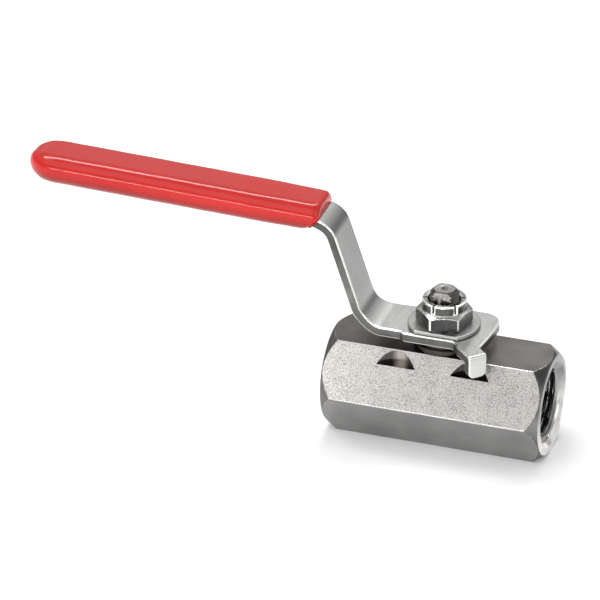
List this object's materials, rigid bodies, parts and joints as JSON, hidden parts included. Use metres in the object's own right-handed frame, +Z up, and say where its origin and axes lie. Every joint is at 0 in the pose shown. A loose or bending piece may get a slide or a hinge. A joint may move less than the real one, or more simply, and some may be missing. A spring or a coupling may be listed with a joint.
{
  "type": "water shutoff valve",
  "caption": "Quarter-turn ball valve with a hexagonal one-piece body, female pipe threads at both ends, and a cranked flat lever with a red vinyl grip.",
  "frame": {"origin": "middle of the body's bottom flat, straight under the stem", "axes": "+Z up along the stem, X along the bore with the lever lying towards -X when the valve is open, -Y the side with the stop notches"},
  "size_m": [0.1434, 0.0312, 0.0663],
  "materials": {
    "body_steel": "machined stainless bar, lightly brushed on top and blasted on the upper front flat",
    "insert_steel": "turned stainless",
    "ball_steel": "polished stainless",
    "stem_steel": "turned and threaded stainless",
    "seat_polymer": "filled fluoropolymer, smooth and waxy",
    "packing_polymer": "graphite-filled fluoropolymer",
    "gland_steel": "turned stainless, in shadow",
    "spring_steel": "rolled spring stainless",
    "lever_steel": "tumbled stainless strip with softened edges",
    "grip_vinyl": "glossy dipped vinyl",
    "washer_steel": "stamped stainless",
    "nut_steel": "bright stainless"
  },
  "bodies": {
    "root": {"valve_body": "body_steel", "seat_retainer": "insert_steel", "retainer_seal": "seat_polymer", "seat_left": "seat_polymer", "seat_right": "seat_polymer", "thrust_washer": "seat_polymer", "packing_ring_lower": "packing_polymer", "packing_ring_middle": "packing_polymer", "packing_ring_upper": "packing_polymer", "gland_follower": "gland_steel"},
    "lever": {"handle_lever": "lever_steel", "handle_grip": "grip_vinyl", "stem": "stem_steel", "nut_washer": "washer_steel", "stem_locknut": "nut_steel", "disc_spring_lower": "spring_steel", "disc_spring_upper": "spring_steel"},
    "ball": {"ball": "ball_steel"}
  },
  "joints": [
    {"name": "lever_turn", "type": "hinge", "parent": "root", "child": "lever", "pos_m": [0, 0, 0.0295], "axis": [0, 0, 1], "range_deg": [-90, 0]},
    {"name": "ball_turn", "type": "hinge", "parent": "root", "child": "ball", "pos_m": [0, 0, 0.0135], "axis": [0, 0, 1], "range_deg": [-90, 0]}
  ],
  "couplings": [
    {"joint": "ball_turn", "follows": "lever_turn", "ratio": 1}
  ]
}
